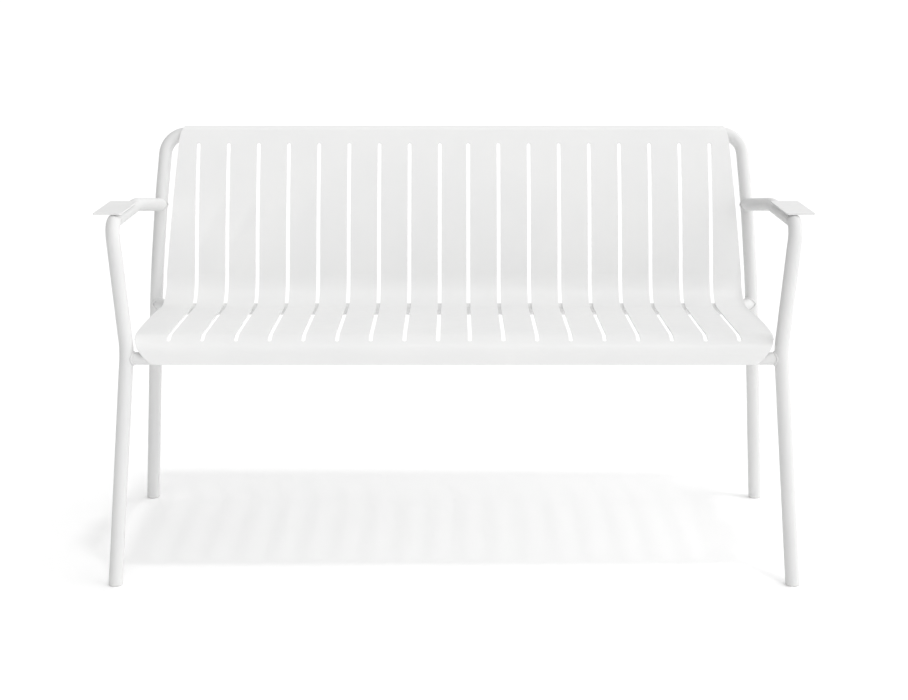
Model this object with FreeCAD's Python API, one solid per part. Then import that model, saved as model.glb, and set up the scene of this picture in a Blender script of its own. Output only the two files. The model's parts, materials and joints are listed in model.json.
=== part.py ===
import FreeCAD, Part
import math
import os

Vector = FreeCAD.Vector

# A welded steel garden bench, in millimetres. +Z is up, the sitter faces -Y, and the origin is on
# the ground in the middle of the bench. Left is the -X side. Lengths named *_Y below are measured
# backwards from a line just behind the sheet's front face, and at() moves them to the origin's frame.

# --- stock ---
TUBE_D = 28.0  # legs, arms and the rear frame loop
RAIL_D = 25.0  # the two cross rails under the seat
TUBE_WALL = 2.0
SHEET_T = 3.0
PLATE_T = 3.0
DEPTH_CENTRE_Y = 281.1

# --- front leg: foot, knee and the corner where it turns back into the arm ---
FRONT_FOOT = (676.0, -45.0, 0.0)
KNEE = (646.5, 13.0, 467.0)
ARM_CORNER = (673.0, 40.0, 716.0)
KNEE_R = 200.0
ARM_CORNER_R = 38.0
SEAM_PAST_CORNER = 38.0  # butt joint of leg and arm, along the arm from its corner
SEAM_GROOVE_R = 1.2

# --- arm tube: from the seam to the rear post ---
ARM_BEND = (667.5, 326.0, 711.0)
ARM_END = (646.5, 541.0, 678.0)
ARM_BEND_R = 350.0

# --- armrest plate, flat on the arm tube ---
PLATE_LENGTH = 188.0
PLATE_START = 21.0  # along the arm from its corner
PLATE_INNER = 16.0  # from the arm's axis to the edge nearer the seat
PLATE_OUTER = 40.0
PLATE_CORNER_R = 4.0

# --- rear frame loop: leg, two gentle bends up the post, and the top corner ---
REAR_FOOT = (688.0, 557.0, 0.0)
POST_LOW = (655.0, 496.0, 516.0)
POST_MID = (646.0, 542.0, 688.0)
TOP_CORNER_X = 637.5
POST_LOW_R = 350.0
POST_MID_R = 700.0
TOP_CORNER_R = 49.0

# --- slotted sheet: its outer face, from the lip under the front edge to the crown of the back ---
LIP_Y = -2.0
LIP_BOTTOM_Z = 441.0
LIP_TOP_Z = 475.5
LIP_R = 24.0
NOSE_ANGLE = 27.0
NOSE_RUN = 35.0
NOSE_R = 91.0
SEAT_FALL = 2.9
SEAT_CORNER_Y = 466.7
SEAT_CORNER_R = 75.0
BACK_LOW_ANGLE = 12.0
BACK_LOW_RUN = 226.0
BACK_R = 1127.0
BACK_HIGH_ANGLE = 28.0
BACK_HIGH_RUN = 193.0
WRAP_PAST_CROWN = 60.0  # how far round the top rail the sheet is folded, past its highest line

# --- sheet outline ---
SHEET_HALF_WIDTH = 640.0  # before trimming
SEAT_SIDE = ((630.0, 470.0), (637.5, 200.0), (631.0, -2.0))  # the side edge in plan, rear to front
TAPER_START_Z = 534.0
TAPER_TOP = (608.5, 811.0)
SHOULDER = (605.0, 831.0)
CROWN_EDGE = (594.5, 849.0)
FRONT_CORNER_R = 50.0

# --- slots ---
SLOTS_PER_SIDE = 9
FIRST_SLOT_X = 31.4
SLOT_PITCH = 66.65
SLOT_WIDTH = 8.0
SLOT_FROM_LIP = 52.0  # lip edge to the front end of a slot, along the sheet
SLOT_TO_CROWN_EDGE = 68.0  # rear end of a slot to the sheet's rear edge, along the sheet

# --- cross rails ---
FRONT_RAIL_Z = 450.5
REAR_RAIL_ANGLE = 19.0  # where it touches the seat's rear bend, back from the bend's lowest line
REAR_RAIL_KNEE_X = 598.0
REAR_RAIL_R = 60.0

# --- plastic foot caps ---
CAP_HEIGHT = 6.0
CAP_PLUG = 20.0
CAP_EDGE_R = 1.8

BIG = 2000.0  # larger than the bench, for cutting tools
CUT_DEPTH = 12.0  # how far a cutting tool stands out of the sheet's faces


def at(x, y, z):
    """A point from its half-width position, its depth behind the datum and its height."""
    return Vector(x, y - DEPTH_CENTRE_Y, z)


def mirrored(shape):
    return shape.mirror(Vector(0, 0, 0), Vector(1, 0, 0))


def bend_centre(before, corner, after, radius):
    """The centre of the arc that rounds a corner between two straight runs."""
    back = (before - corner).normalize()
    ahead = (after - corner).normalize()
    half = back.getAngle(ahead) / 2
    return corner + (back + ahead).normalize() * (radius / math.sin(half))


def bent_path(points, radii):
    """Edges of straight runs through the points, with a tangent arc at each inner point."""
    edges = []
    start = points[0]
    for before, corner, after, radius in zip(points, points[1:], points[2:], radii):
        back = (before - corner).normalize()
        ahead = (after - corner).normalize()
        reach = radius / math.tan(back.getAngle(ahead) / 2)
        enter = corner + back * reach
        leave = corner + ahead * reach
        centre = bend_centre(before, corner, after, radius)
        middle = centre + (corner - centre).normalize() * radius
        edges.append(Part.LineSegment(start, enter).toShape())
        edges.append(Part.Arc(enter, middle, leave).toShape())
        start = leave
    edges.append(Part.LineSegment(start, points[-1]).toShape())
    return edges


def stretch(path, begin, end):
    """The edges of a path between two distances along it."""
    kept = []
    passed = 0.0
    for edge in path:
        low = max(begin - passed, 0.0)
        high = min(end - passed, edge.Length)
        if high > low:
            first = edge.getParameterByLength(low)
            last = edge.getParameterByLength(high)
            kept.append(edge.Curve.toShape(first, last))
        passed += edge.Length
    return kept


def path_length(path):
    return sum(edge.Length for edge in path)


def rod(path, diameter):
    """A solid round bar along a path."""
    first = path[0]
    centre = first.valueAt(first.FirstParameter)
    direction = first.tangentAt(first.FirstParameter)
    disc = Part.Face(Part.Wire(Part.makeCircle(diameter / 2, centre, direction)))
    return Part.Wire(path).makePipe(disc)


def tube(path, diameter):
    """A hollow round tube along a path."""
    return rod(path, diameter).cut(rod(path, diameter - 2 * TUBE_WALL))


def ground_block(height):
    """Everything below a height."""
    return Part.makeBox(BIG, BIG, BIG, Vector(-BIG / 2, -BIG / 2, height - BIG))


def strip(path, x_low, x_high, inside, outside):
    """A band swept along a path in the YZ plane, between two offsets from the path."""
    first = path[0]
    start = first.valueAt(first.FirstParameter)
    along = first.tangentAt(first.FirstParameter)
    inward = along.cross(Vector(1, 0, 0))
    corners = [
        Vector(x, start.y, start.z) + inward * offset
        for x, offset in ((x_low, outside), (x_high, outside), (x_high, inside), (x_low, inside))
    ]
    section = Part.Face(Part.makePolygon(corners + corners[:1]))
    return Part.Wire(path).makePipe(section)


def slope(angle):
    """Unit vector in the YZ plane, leaning back from the vertical by an angle in degrees."""
    return Vector(0, math.sin(math.radians(angle)), math.cos(math.radians(angle)))


def sheet_corners():
    """Corner points of the sheet's outer face in side view, before its bends are rounded."""
    lip_bottom = at(0, LIP_Y, LIP_BOTTOM_Z)
    lip_top = at(0, LIP_Y, LIP_TOP_Z)
    rise = NOSE_RUN * math.tan(math.radians(NOSE_ANGLE))
    nose = lip_top + Vector(0, NOSE_RUN, rise)
    seat_run = SEAT_CORNER_Y - LIP_Y - NOSE_RUN
    seat = nose + Vector(0, seat_run, -seat_run * math.tan(math.radians(SEAT_FALL)))
    back = seat + slope(BACK_LOW_ANGLE) * BACK_LOW_RUN
    crown = back + slope(BACK_HIGH_ANGLE) * BACK_HIGH_RUN
    return [lip_bottom, lip_top, nose, seat, back, crown]


def wrap_radius():
    return TUBE_D / 2 + SHEET_T


def wrap_reach():
    """Distance from the crown corner to each end of the fold over the top rail."""
    turn = 90 - BACK_HIGH_ANGLE + WRAP_PAST_CROWN
    return wrap_radius() * math.tan(math.radians(turn / 2))


def sheet_path():
    corners = sheet_corners()
    end = corners[-1] + slope(90 + WRAP_PAST_CROWN) * (wrap_reach() + SHEET_T)
    radii = [LIP_R, NOSE_R, SEAT_CORNER_R, BACK_R, wrap_radius()]
    return bent_path(corners + [end], radii)


def top_rail_axis():
    """A point on the axis of the loop's top run, round which the sheet is folded."""
    fold_start = sheet_corners()[-1] - slope(BACK_HIGH_ANGLE) * wrap_reach()
    return fold_start + slope(BACK_HIGH_ANGLE + 90) * wrap_radius()


def post_side_points():
    """The loop's bend points on the +X side, from below the foot up to the top corner."""
    foot = at(*REAR_FOOT)
    low = at(*POST_LOW)
    below = foot + (foot - low) * (TUBE_D / (foot - low).Length)
    top = top_rail_axis()
    return [below, low, at(*POST_MID), Vector(TOP_CORNER_X, top.y, top.z)]


def rear_loop_path():
    right = post_side_points()
    left = [Vector(-p.x, p.y, p.z) for p in reversed(right)]
    radii = [POST_LOW_R, POST_MID_R, TOP_CORNER_R]
    return bent_path(right + left, radii + radii[::-1])


def front_leg_points():
    foot = at(*FRONT_FOOT)
    knee = at(*KNEE)
    corner = at(*ARM_CORNER)
    below = foot + (foot - knee) * (TUBE_D / (foot - knee).Length)
    seam = corner + arm_direction() * SEAM_PAST_CORNER
    return [below, knee, corner, seam]


def arm_direction():
    return (at(*ARM_BEND) - at(*ARM_CORNER)).normalize()


def front_leg_path():
    return bent_path(front_leg_points(), [KNEE_R, ARM_CORNER_R])


def seam_groove():
    """A ring round the butt joint of leg and arm, turned so its surface seam misses the tubes' own."""
    seam = front_leg_points()[-1]
    ring = Part.makeTorus(TUBE_D / 2, SEAM_GROOVE_R, seam, arm_direction())
    return ring.rotated(seam, arm_direction(), 90)


def front_leg():
    leg = tube(front_leg_path(), TUBE_D)
    return leg.cut(ground_block(CAP_HEIGHT)).cut(seam_groove())


def arm_tube():
    """The arm, its rear end shaped to sit against the rear post."""
    path = bent_path([front_leg_points()[-1], at(*ARM_BEND), at(*ARM_END)], [ARM_BEND_R])
    arm = tube(path, TUBE_D).cut(seam_groove())
    return largest(arm.cut(rod(rear_loop_path(), TUBE_D)))


def largest(shape):
    """The biggest solid of a shape, without the offcuts past a shaped tube end."""
    return max(shape.Solids, key=lambda solid: solid.Volume)


def armrest_plate():
    """A flat plate resting along the top of the arm tube, wider on the outer side."""
    along = arm_direction()
    across = along.cross(Vector(0, 0, 1)).normalize()
    up = across.cross(along)
    base = at(*ARM_CORNER) + along * PLATE_START + up * (TUBE_D / 2)
    corners = [
        base - across * PLATE_INNER,
        base + across * PLATE_OUTER,
        base + across * PLATE_OUTER + along * PLATE_LENGTH,
        base - across * PLATE_INNER + along * PLATE_LENGTH,
    ]
    blank = Part.Face(Part.makePolygon(corners + corners[:1])).extrude(up * PLATE_T)
    upright = [e for e in blank.Edges if e.Length < 2 * PLATE_T]
    return blank.makeFillet(PLATE_CORNER_R, upright)


def rear_frame_loop():
    """One tube: up a leg and post, along the top and down the other side."""
    return tube(rear_loop_path(), TUBE_D).cut(ground_block(CAP_HEIGHT))


def front_rail():
    """A straight tube behind the sheet's lip, shaped at both ends to the front legs."""
    y = LIP_Y + SHEET_T + RAIL_D / 2
    end = KNEE[0]
    path = [Part.LineSegment(at(-end, y, FRONT_RAIL_Z), at(end, y, FRONT_RAIL_Z)).toShape()]
    leg = rod(front_leg_path(), TUBE_D)
    return largest(tube(path, RAIL_D).cut(leg).cut(mirrored(leg)))


def rear_rail():
    """A tube touching the underside of the seat's rear bend, its ends turned back to the posts."""
    loop = rod(rear_loop_path(), TUBE_D)
    centre = bend_centre(*sheet_corners()[2:5], SEAT_CORNER_R)
    out = slope(180 - REAR_RAIL_ANGLE)
    axis = centre + out * (SEAT_CORNER_R + SHEET_T + RAIL_D / 2)
    foot, low = at(*REAR_FOOT), at(*POST_LOW)
    end = low + (foot - low) * ((low.z - axis.z) / low.z)
    knee = Vector(REAR_RAIL_KNEE_X, axis.y, axis.z)
    left = [Vector(-end.x, end.y, end.z), Vector(-knee.x, knee.y, knee.z)]
    path = bent_path(left + [knee, end], [REAR_RAIL_R, REAR_RAIL_R])
    return largest(tube(path, RAIL_D).cut(loop))


def slot_cutter(path):
    """The space of one slot at X = 0, with round ends square to the sheet."""
    half = SLOT_WIDTH / 2
    begin = SLOT_FROM_LIP + half
    end = path_length(path) - SLOT_TO_CROWN_EDGE - half
    run = stretch(path, begin, end)
    cutter = strip(run, -half, half, -CUT_DEPTH, CUT_DEPTH)
    for edge, parameter in ((run[0], run[0].FirstParameter), (run[-1], run[-1].LastParameter)):
        inward = edge.tangentAt(parameter).cross(Vector(1, 0, 0))
        base = edge.valueAt(parameter) - inward * CUT_DEPTH
        cutter = cutter.fuse(Part.makeCylinder(half, 2 * CUT_DEPTH, base, inward))
    return cutter


def slot_positions():
    side = [FIRST_SLOT_X + SLOT_PITCH * i for i in range(SLOTS_PER_SIDE)]
    return [-x for x in reversed(side)] + side


def taper_cutter():
    """What is trimmed off the +X edge of the back, in front view."""
    depth = BIG / 2
    waist = Vector(SEAT_SIDE[0][0], 0, TAPER_START_Z)
    shoulder_start = Vector(TAPER_TOP[0], 0, TAPER_TOP[1])
    shoulder = Vector(SHOULDER[0], 0, SHOULDER[1])
    crown = Vector(CROWN_EDGE[0], 0, CROWN_EDGE[1])
    above = Vector(BIG / 2, 0, CROWN_EDGE[1])
    beside = Vector(BIG / 2, 0, TAPER_START_Z)
    outline = [
        Part.LineSegment(waist, shoulder_start).toShape(),
        Part.Arc(shoulder_start, shoulder, crown).toShape(),
        Part.LineSegment(crown, above).toShape(),
        Part.LineSegment(above, beside).toShape(),
        Part.LineSegment(beside, waist).toShape(),
    ]
    return Part.Face(Part.Wire(outline)).extrude(Vector(0, depth, 0))


def side_cutter():
    """What is trimmed off the +X side of the seat, in plan."""
    rear, middle, front = [at(x, y, 0) for x, y in SEAT_SIDE]
    behind = Vector(rear.x, BIG / 2, 0)
    outline = [
        Part.LineSegment(behind, rear).toShape(),
        Part.Arc(rear, middle, front).toShape(),
        Part.LineSegment(front, Vector(front.x, -BIG / 2, 0)).toShape(),
        Part.LineSegment(Vector(front.x, -BIG / 2, 0), Vector(BIG / 2, -BIG / 2, 0)).toShape(),
        Part.LineSegment(Vector(BIG / 2, -BIG / 2, 0), Vector(BIG / 2, BIG / 2, 0)).toShape(),
        Part.LineSegment(Vector(BIG / 2, BIG / 2, 0), behind).toShape(),
    ]
    return Part.Face(Part.Wire(outline)).extrude(Vector(0, 0, BIG / 2))


def front_corner_cutter():
    """What is trimmed off the +X front corner, seen from in front and above at 45 degrees."""
    radius = FRONT_CORNER_R
    rise = math.sqrt(0.5)
    view = Vector(0, rise, -rise)
    up = Vector(0, rise, rise)
    tip = at(SEAT_SIDE[-1][0], LIP_Y, LIP_BOTTOM_Z) - view * radius
    centre = tip - Vector(radius, 0, 0) + up * radius
    corner = tip + Vector(radius, 0, 0) - up * radius
    block_points = [corner, centre + Vector(2 * radius, 0, 0), centre, centre - up * (2 * radius)]
    block = Part.Face(Part.makePolygon(block_points + block_points[:1])).extrude(view * (3 * radius))
    return block.cut(Part.makeCylinder(radius, 3 * radius, centre, view))


def seat_back_sheet():
    """The one-piece seat and back: a bent sheet with its outline trimmed and its slots cut."""
    path = sheet_path()
    sheet = strip(path, -SHEET_HALF_WIDTH, SHEET_HALF_WIDTH, SHEET_T, 0.0)
    for trim in (taper_cutter(), side_cutter(), front_corner_cutter()):
        sheet = sheet.cut(trim).cut(mirrored(trim))
    slot = slot_cutter(path)
    slots = [slot.translated(Vector(x, 0, 0)) for x in slot_positions()]
    return sheet.cut(Part.makeCompound(slots))


def foot_cap(path):
    """A plastic cap under a leg: a plug inside the tube and a foot cut level with the ground."""
    foot = rod(path, TUBE_D).cut(ground_block(0.0))
    foot = foot.common(ground_block(CAP_HEIGHT))
    rim = [e for e in foot.Edges if e.BoundBox.ZMax < CAP_EDGE_R]
    foot = foot.makeFillet(CAP_EDGE_R, rim)
    plug = rod(path, TUBE_D - 2 * TUBE_WALL).cut(ground_block(CAP_HEIGHT))
    plug = plug.common(ground_block(CAP_HEIGHT + CAP_PLUG))
    return foot.fuse(plug).removeSplitter()


def leg_run(points):
    """The straight lower run of a leg, as a path of one edge."""
    return [Part.LineSegment(points[0], points[1]).toShape()]


def parts():
    """Every node's name and shape."""
    right = {
        "front_leg": front_leg(),
        "arm_tube": arm_tube(),
        "armrest_plate": armrest_plate(),
        "front_foot_cap": foot_cap(leg_run(front_leg_points())),
        "rear_foot_cap": foot_cap(leg_run(post_side_points())),
    }
    nodes = {
        "rear_frame_loop": rear_frame_loop(),
        "front_rail": front_rail(),
        "rear_rail": rear_rail(),
        "seat_back_sheet": seat_back_sheet(),
    }
    for name, shape in right.items():
        nodes[name + "_right"] = shape
        nodes[name + "_left"] = mirrored(shape)
    return nodes


os.makedirs("parts", exist_ok=True)
for node, shape in parts().items():
    shape.exportStep(f"parts/{node}.step")
    box = shape.BoundBox
    print(
        f"{node}: solids {len(shape.Solids)} valid {shape.isValid()} volume {shape.Volume / 1000:.1f} cm3",
        f"y {box.YMin:.1f} to {box.YMax:.1f} z {box.ZMin:.1f} to {box.ZMax:.1f} x to {box.XMax:.1f}",
    )
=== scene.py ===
import json
import math

import bmesh
import bpy
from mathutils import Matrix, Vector


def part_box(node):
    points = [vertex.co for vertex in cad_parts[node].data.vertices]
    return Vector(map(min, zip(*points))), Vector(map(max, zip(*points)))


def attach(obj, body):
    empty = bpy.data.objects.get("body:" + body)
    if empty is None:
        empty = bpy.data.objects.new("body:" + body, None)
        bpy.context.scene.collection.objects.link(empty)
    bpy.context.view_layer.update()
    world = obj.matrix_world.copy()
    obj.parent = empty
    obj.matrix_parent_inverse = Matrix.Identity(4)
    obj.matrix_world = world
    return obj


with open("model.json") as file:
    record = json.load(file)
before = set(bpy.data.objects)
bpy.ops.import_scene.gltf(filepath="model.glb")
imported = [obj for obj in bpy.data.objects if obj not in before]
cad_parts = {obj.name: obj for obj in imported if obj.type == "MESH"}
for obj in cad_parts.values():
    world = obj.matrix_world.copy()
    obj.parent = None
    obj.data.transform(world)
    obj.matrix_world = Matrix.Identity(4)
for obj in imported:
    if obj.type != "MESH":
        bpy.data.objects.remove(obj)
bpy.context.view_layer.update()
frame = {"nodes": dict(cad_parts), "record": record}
nodes = frame["nodes"]

# Metres, in the CAD frame.

# --- stock: the tubes' radii ---
TUBE_R = 0.014
RAIL_R = 0.0125

BODY = "root"
SIDES = {"right": 1.0, "left": -1.0}  # and the sign of x on each

# --- camera: in front of the bench and above it, looking down a little ---
CAMERA_AT = Vector((0.0, -4.1532, 1.3467))
CAMERA_PITCH = math.radians(12.508)
CAMERA_LENS = 79.93
CAMERA_SHIFT_Y = -0.00925

# --- light ---
SKY = 0.925  # straight up; the slope below makes it brighter to the right and the front
SKY_SLOPE = Vector((0.82, -0.06, 0.0))
KEY_DIRECTION = Vector((-0.11, 0.18, -1.0))  # the way its light travels
KEY_STRENGTH = 0.45
KEY_SOFTNESS = math.radians(5.0)
BACKDROP = 1.05  # what the camera sees past the floor's edge
WHITE = (1.0, 1.0, 1.0, 1.0)
FLOOR_HALF = 40.0
FLOOR_COLOUR = (0.95, 0.95, 0.95, 1.0)
FLOOR_ROUGHNESS = 0.9
FLOOR_GLOW = 0.09  # the floor is lit from below as well, so that shadows on it stay pale

# --- weld beads ---
BEAD_R = 0.0021
BEAD_FLATNESS = 0.8  # height over half width
BEAD_LIFT = 0.25  # how far out of the corner a bead's middle lies, in bead radii
BEAD_RIPPLE = 0.00022
RIPPLE_PITCH = 0.0022
STEPS_PER_RIPPLE = 5
BEAD_RING = 10  # points round a bead
END_TAPER = 6.0  # an open bead grows to full size over a sixth of its length
END_SIZE = 0.02  # square of the share of full size that its tips start at
STITCH_LENGTH = 0.03
STITCHES = (("front", 0.25), ("rear", 0.75))  # along an armrest plate

# --- powder coat: noise scales per metre; heights in metres ---
CLOUD_SCALE = 7.0
SHEEN_SCALE = 60.0
SHEEN_ROUGHNESS = (0.40, 0.52)
PEEL_SCALE, PEEL_HEIGHT, PEEL_STRENGTH = 420.0, 0.0004, 0.30
GRAIN_SCALE, GRAIN_HEIGHT, GRAIN_STRENGTH = 1700.0, 0.00012, 0.35
COAT_SPECULAR = 0.4

# --- moulded plastic ---
SCUFF_SCALE = 380.0
SCUFF_TOP = 0.004  # scuffs fade out this far above the ground
SCUFF_ROUGHNESS = (0.38, 0.5)
SPARK_SCALE, SPARK_HEIGHT, SPARK_STRENGTH = 2200.0, 0.0001, 0.4
PLASTIC_DEPTH = 0.002  # how far light wanders in it
PLASTIC_DEPTH_WEIGHT = 0.08

# --- colours: the clean one, then the one it clouds or scuffs to ---
# The three coat whites are one white paint, toned apart as painted light and shade: the frame
# darker as painted shade on its round tubes, the sheet lighter as painted light, the plate
# between them. Each second colour is that coat's random cloud.
FRAME_WHITE_PAINTED_SHADE = ((0.73, 0.73, 0.725), (0.708, 0.709, 0.708))
SHEET_WHITE_PAINTED_LIGHT = ((0.81, 0.81, 0.805), (0.792, 0.793, 0.791))
PLATE_WHITE_PAINTED_LIGHT_LEVEL = ((0.77, 0.77, 0.765), (0.75, 0.751, 0.75))
FOOT_WHITE = ((0.72, 0.72, 0.71), (0.55, 0.55, 0.54))

# --- where tubes are cut to find their axes ---
CUT_GAP = 0.012  # each side of the point asked about
CUT_REACH = 4 * TUBE_R  # only the tube this near the point counts
BENT_END_GAP = 0.006  # for the rear rail's turned ends, which are short
FRONT_RAIL_START = 0.03  # back from the rail's tip, clear of the leg


# ---------------------------------------------------------------- materials


def new_material(name):
    material = bpy.data.materials.new(name)
    material.use_nodes = True
    return material, material.node_tree, material.node_tree.nodes["Principled BSDF"]


def noise(tree, position, scale, detail, roughness=0.5):
    node = tree.nodes.new("ShaderNodeTexNoise")
    node.inputs["Scale"].default_value = scale
    node.inputs["Detail"].default_value = detail
    node.inputs["Roughness"].default_value = roughness
    tree.links.new(position, node.inputs["Vector"])
    return node.outputs["Fac"]


def remap(tree, value, low, high, to_low, to_high):
    node = tree.nodes.new("ShaderNodeMapRange")
    node.inputs["From Min"].default_value = low
    node.inputs["From Max"].default_value = high
    node.inputs["To Min"].default_value = to_low
    node.inputs["To Max"].default_value = to_high
    tree.links.new(value, node.inputs["Value"])
    return node.outputs["Result"]


def blend_colours(tree, factor, first, second):
    node = tree.nodes.new("ShaderNodeMix")
    node.data_type = "RGBA"
    node.inputs["A"].default_value = (*first, 1.0)
    tree.links.new(factor, node.inputs["Factor"])
    node.inputs["B"].default_value = (*second, 1.0)
    return node.outputs["Result"]


def bump(tree, height, distance, strength, normal=None):
    node = tree.nodes.new("ShaderNodeBump")
    node.inputs["Strength"].default_value = strength
    node.inputs["Distance"].default_value = distance
    tree.links.new(height, node.inputs["Height"])
    if normal:
        tree.links.new(normal, node.inputs["Normal"])
    return node.outputs["Normal"]


def powder_coat(name, light, shade):
    """Baked powder coat: a faint cloudiness of colour, orange peel, and a finer grain over it."""
    material, tree, shader = new_material(name)
    place = tree.nodes.new("ShaderNodeTexCoord").outputs["Object"]
    cloud = remap(tree, noise(tree, place, CLOUD_SCALE, 4.0), 0.35, 0.65, 0.0, 1.0)
    tree.links.new(blend_colours(tree, cloud, light, shade), shader.inputs["Base Color"])
    sheen = remap(tree, noise(tree, place, SHEEN_SCALE, 3.0), 0.3, 0.7, *SHEEN_ROUGHNESS)
    tree.links.new(sheen, shader.inputs["Roughness"])
    peel = bump(tree, noise(tree, place, PEEL_SCALE, 2.0), PEEL_HEIGHT, PEEL_STRENGTH)
    grain_height = noise(tree, place, GRAIN_SCALE, 2.0, 0.6)
    grain = bump(tree, grain_height, GRAIN_HEIGHT, GRAIN_STRENGTH, peel)
    tree.links.new(grain, shader.inputs["Normal"])
    shader.inputs["Specular IOR Level"].default_value = COAT_SPECULAR
    return material


def moulded_plastic(name, light, shade):
    """Injection-moulded plastic with a fine spark-eroded grain and scuffs near the ground."""
    material, tree, shader = new_material(name)
    place = tree.nodes.new("ShaderNodeTexCoord").outputs["Object"]
    split = tree.nodes.new("ShaderNodeSeparateXYZ")
    tree.links.new(place, split.inputs["Vector"])
    low = remap(tree, split.outputs["Z"], 0.0, SCUFF_TOP, 1.0, 0.0)
    scuff = remap(tree, noise(tree, place, SCUFF_SCALE, 4.0, 0.7), 0.45, 0.62, 0.0, 1.0)
    both = tree.nodes.new("ShaderNodeMath")
    both.operation = "MULTIPLY"
    tree.links.new(low, both.inputs[0])
    tree.links.new(scuff, both.inputs[1])
    colour = blend_colours(tree, both.outputs["Value"], light, shade)
    tree.links.new(colour, shader.inputs["Base Color"])
    dulled = remap(tree, scuff, 0.0, 1.0, *SCUFF_ROUGHNESS)
    tree.links.new(dulled, shader.inputs["Roughness"])
    spark = bump(tree, noise(tree, place, SPARK_SCALE, 2.0), SPARK_HEIGHT, SPARK_STRENGTH)
    tree.links.new(spark, shader.inputs["Normal"])
    shader.inputs["Subsurface Weight"].default_value = PLASTIC_DEPTH_WEIGHT
    shader.inputs["Subsurface Radius"].default_value = (PLASTIC_DEPTH,) * 3
    return material


# ---------------------------------------------------------------- measuring the frame


def section(node, point, normal):
    """Where a plane cuts a CAD node: the points of the cut."""
    mesh = bmesh.new()
    mesh.from_mesh(nodes[node].data)
    geometry = mesh.verts[:] + mesh.edges[:] + mesh.faces[:]
    cut = bmesh.ops.bisect_plane(mesh, geom=geometry, plane_co=point, plane_no=normal)
    points = [v.co.copy() for v in cut["geom_cut"] if isinstance(v, bmesh.types.BMVert)]
    mesh.free()
    return points


def middle(points):
    """The centre of the points' box, which for a cut tube is on its axis."""
    low = Vector([min(p[i] for p in points) for i in range(3)])
    high = Vector([max(p[i] for p in points) for i in range(3)])
    return (low + high) / 2


def axis_near(node, point, normal, side, gap=CUT_GAP):
    """A tube's axis where it crosses a plane: a point on it and its direction there."""
    ends = []
    for step in (-gap, gap):
        cut = section(node, point + normal * step, normal)
        near = [p for p in cut if p.x * side > 0 and (p - point).length < CUT_REACH]
        ends.append(middle(near))
    return (ends[0] + ends[1]) / 2, (ends[1] - ends[0]).normalized()


# ---------------------------------------------------------------- weld beads


def bead(name, path, sides, radius, closed):
    """A weld bead along a path, rippled as by a pulsed arc. The sides point out of the corner."""
    mesh = bmesh.new()
    count = len(path)
    rings = []
    travelled = 0.0
    for i, point in enumerate(path):
        after = path[(i + 1) % count] if closed or i + 1 < count else point
        before = path[i - 1] if closed or i > 0 else point
        along = (after - before).normalized()
        out = (sides[i] - along * sides[i].dot(along)).normalized()
        across = along.cross(out)
        ripple = 1.0 + BEAD_RIPPLE / BEAD_R * math.sin(2 * math.pi * travelled / RIPPLE_PITCH)
        from_end = END_TAPER * min(i, count - 1 - i) / count
        end = 1.0 if closed else min(1.0, math.sqrt(max(END_SIZE, from_end)))
        r = radius * ripple * end
        ring = []
        for k in range(BEAD_RING):
            turn = 2 * math.pi * k / BEAD_RING
            spoke = out * math.cos(turn) * BEAD_FLATNESS + across * math.sin(turn)
            ring.append(mesh.verts.new(point + spoke * r))
        rings.append(ring)
        travelled += (after - point).length
    spans = count if closed else count - 1
    for i in range(spans):
        here, there = rings[i], rings[(i + 1) % count]
        for k in range(BEAD_RING):
            k2 = (k + 1) % BEAD_RING
            mesh.faces.new((here[k], there[k], there[k2], here[k2]))
    if not closed:
        mesh.faces.new(rings[0])
        mesh.faces.new(rings[-1][::-1])
    bmesh.ops.recalc_face_normals(mesh, faces=mesh.faces)
    data = bpy.data.meshes.new(name)
    mesh.to_mesh(data)
    mesh.free()
    data.polygons.foreach_set("use_smooth", [True] * len(data.polygons))
    piece = bpy.data.objects.new(name, data)
    bpy.context.scene.collection.objects.link(piece)
    data.materials.append(frame_coat)
    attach(piece, BODY)


def saddle_bead(name, branch, branch_way, branch_r, main, main_way, main_r):
    """The bead round a tube's shaped end, where it meets the side of another tube."""
    first = branch_way.orthogonal().normalized()
    second = branch_way.cross(first)
    steps = int(2 * math.pi * branch_r / RIPPLE_PITCH * STEPS_PER_RIPPLE)
    path, sides = [], []
    for i in range(steps):
        turn = 2 * math.pi * i / steps
        spoke = first * math.cos(turn) + second * math.sin(turn)
        start = branch + spoke * branch_r - main
        flat_start = start - main_way * start.dot(main_way)
        flat_way = branch_way - main_way * branch_way.dot(main_way)
        a, b = flat_way.length_squared, flat_start.dot(flat_way)
        c = flat_start.length_squared - main_r**2
        s = (-b - math.sqrt(max(b * b - a * c, 0.0))) / a
        point = branch + spoke * branch_r + branch_way * s
        from_main = point - main
        wall = (from_main - main_way * from_main.dot(main_way)).normalized()
        path.append(point + (spoke + wall) * BEAD_R * BEAD_LIFT)
        sides.append(spoke + wall)
    bead(name, path, sides, BEAD_R, True)


def front_rail_welds():
    """Where each end of the front rail meets the front leg."""
    low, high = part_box("front_rail")
    centre = (low + high) / 2
    for side, sign in SIDES.items():
        node = "front_leg_" + side
        spot = Vector((sign * high.x, centre.y, centre.z))
        leg, leg_way = axis_near(node, spot, Vector((0, 0, 1)), sign)
        start = Vector((sign * (high.x - FRONT_RAIL_START), centre.y, centre.z))
        way = Vector((sign, 0, 0))
        saddle_bead("weld_front_rail_" + side, start, way, RAIL_R, leg, leg_way, TUBE_R)


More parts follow.
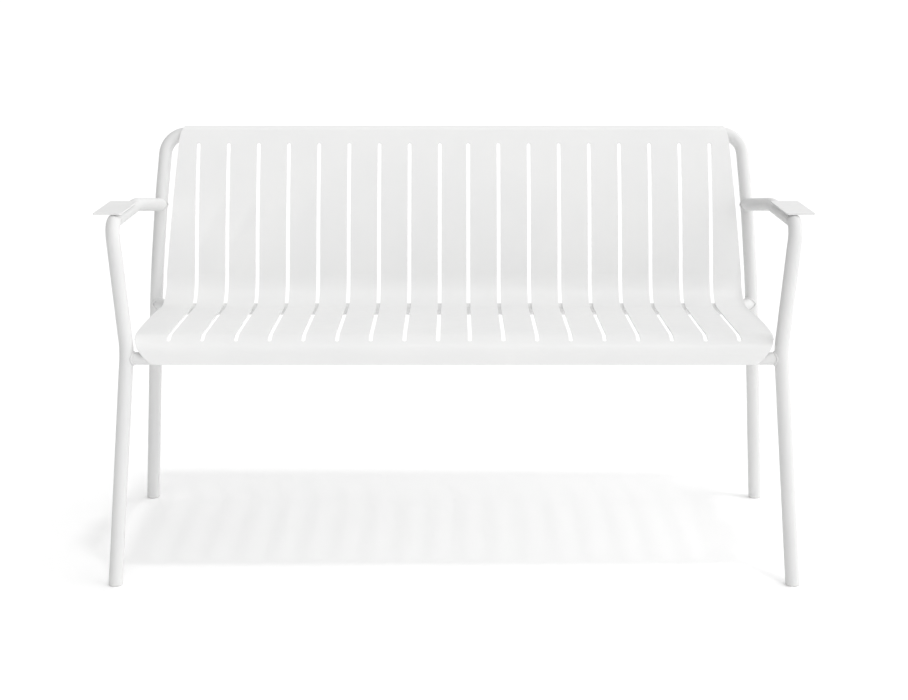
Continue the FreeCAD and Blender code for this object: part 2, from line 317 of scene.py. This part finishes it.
def arm_welds():
    """Where each arm's shaped rear end meets the post."""
    for side, sign in SIDES.items():
        low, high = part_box("arm_tube_" + side)
        inner = min(abs(low.x), abs(high.x))
        spot = Vector((sign * (inner + 2 * TUBE_R), high.y - 2.5 * TUBE_R, low.z + 2 * TUBE_R))
        arm, way = axis_near("arm_tube_" + side, spot, Vector((0, 1, 0)), sign)
        reach = arm + way * (high.y - arm.y)
        post, post_way = axis_near("rear_frame_loop", reach, Vector((0, 0, 1)), sign)
        saddle_bead("weld_arm_" + side, arm, way, TUBE_R, post, post_way, TUBE_R)


def rear_rail_welds():
    """Where each end of the rear rail meets the rear leg."""
    for side, sign in SIDES.items():
        low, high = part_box("rear_rail")
        height = (low.z + high.z) / 2
        spot = Vector((sign * (high.x - 3 * RAIL_R), high.y - 2 * RAIL_R, height))
        rail, way = axis_near("rear_rail", spot, Vector((sign, 0, 0)), sign, BENT_END_GAP)
        reach = rail + way * (high.x - abs(rail.x))
        post, post_way = axis_near("rear_frame_loop", reach, Vector((0, 0, 1)), sign)
        saddle_bead("weld_rear_rail_" + side, rail, way, RAIL_R, post, post_way, TUBE_R)


def stitch(name, centre, along, out):
    """A short straight bead lying in a crevice."""
    steps = int(STITCH_LENGTH / RIPPLE_PITCH * STEPS_PER_RIPPLE)
    path = [centre + along * (STITCH_LENGTH * (i / steps - 0.5)) for i in range(steps + 1)]
    bead(name, path, [out] * len(path), BEAD_R, False)


def plate_welds():
    """Two stitches on each side of the arm tube, in the crevice under its plate."""
    for side, sign in SIDES.items():
        low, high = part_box("armrest_plate_" + side)
        for end, share in STITCHES:
            y = low.y + (high.y - low.y) * share
            spot = Vector((sign * abs(low.x + high.x) / 2, y, low.z))
            arm, way = axis_near("arm_tube_" + side, spot, Vector((0, 1, 0)), sign)
            across = way.cross(Vector((0, 0, 1))).normalized()
            up = across.cross(way)
            step = math.sqrt(4 * TUBE_R * BEAD_R)
            for edge, hand in (("outer", sign), ("inner", -sign)):
                centre = arm + up * (TUBE_R - BEAD_R * BEAD_FLATNESS) + across * (hand * step)
                name = f"weld_plate_{side}_{end}_{edge}"
                stitch(name, centre, way, across * hand - up)


# ---------------------------------------------------------------- studio


def add_camera():
    camera = bpy.data.objects.new("camera", bpy.data.cameras.new("camera"))
    camera.location = CAMERA_AT
    camera.rotation_euler = (math.pi / 2 - CAMERA_PITCH, 0.0, 0.0)
    camera.data.lens = CAMERA_LENS
    camera.data.shift_y = CAMERA_SHIFT_Y
    bpy.context.scene.collection.objects.link(camera)
    bpy.context.scene.camera = camera


def add_floor():
    mesh = bpy.data.meshes.new("floor")
    h = FLOOR_HALF
    mesh.from_pydata([(-h, -h, 0), (h, -h, 0), (h, h, 0), (-h, h, 0)], [], [(0, 1, 2, 3)])
    floor = bpy.data.objects.new("floor", mesh)
    bpy.context.scene.collection.objects.link(floor)
    material, _, shader = new_material("floor")
    shader.inputs["Base Color"].default_value = FLOOR_COLOUR
    shader.inputs["Roughness"].default_value = FLOOR_ROUGHNESS
    shader.inputs["Emission Color"].default_value = WHITE
    shader.inputs["Emission Strength"].default_value = FLOOR_GLOW
    mesh.materials.append(material)


def add_world():
    """An even white sky with a slope in it, and a plain white backdrop for the camera."""
    world = bpy.data.worlds.new("studio")
    world.use_nodes = True
    tree = world.node_tree
    sky = tree.nodes["Background"]
    way = tree.nodes.new("ShaderNodeTexCoord").outputs["Generated"]
    slope = tree.nodes.new("ShaderNodeVectorMath")
    slope.operation = "DOT_PRODUCT"
    slope.inputs[1].default_value = SKY_SLOPE
    tree.links.new(way, slope.inputs[0])
    level = tree.nodes.new("ShaderNodeMath")
    level.operation = "ADD"
    level.inputs[1].default_value = SKY
    tree.links.new(slope.outputs["Value"], level.inputs[0])
    tree.links.new(level.outputs["Value"], sky.inputs["Strength"])
    sky.inputs["Color"].default_value = WHITE
    backdrop = tree.nodes.new("ShaderNodeBackground")
    backdrop.inputs["Color"].default_value = WHITE
    backdrop.inputs["Strength"].default_value = BACKDROP
    seen = tree.nodes.new("ShaderNodeLightPath")
    mix = tree.nodes.new("ShaderNodeMixShader")
    tree.links.new(seen.outputs["Is Camera Ray"], mix.inputs["Fac"])
    tree.links.new(sky.outputs["Background"], mix.inputs[1])
    tree.links.new(backdrop.outputs["Background"], mix.inputs[2])
    tree.links.new(mix.outputs["Shader"], tree.nodes["World Output"].inputs["Surface"])
    bpy.context.scene.world = world


def add_key():
    key = bpy.data.objects.new("key", bpy.data.lights.new("key", "SUN"))
    key.data.energy = KEY_STRENGTH
    key.data.angle = KEY_SOFTNESS
    key.rotation_mode = "QUATERNION"
    key.rotation_quaternion = KEY_DIRECTION.to_track_quat("-Z", "Y")
    bpy.context.scene.collection.objects.link(key)


# ---------------------------------------------------------------- build

# Lit and shaded copies of one white coat: painted shade on the frame, painted light on the sheet,
# the plate between.
frame_coat = powder_coat("frame_coat", *FRAME_WHITE_PAINTED_SHADE)
sheet_coat = powder_coat("sheet_coat", *SHEET_WHITE_PAINTED_LIGHT)
plate_coat = powder_coat("plate_coat", *PLATE_WHITE_PAINTED_LIGHT_LEVEL)
foot_plastic = moulded_plastic("foot_plastic", *FOOT_WHITE)
COATS = {
    "frame_coat": frame_coat,
    "sheet_coat": sheet_coat,
    "plate_coat": plate_coat,
    "foot_plastic": foot_plastic,
}

for part in frame["record"]["subparts"]:
    mesh = nodes[part["node"]].data
    mesh.materials.clear()
    mesh.materials.append(COATS[part["material_slot"]])

front_rail_welds()
arm_welds()
rear_rail_welds()
plate_welds()

bpy.context.scene.view_settings.view_transform = "Standard"
add_world()
add_key()
add_floor()
add_camera()
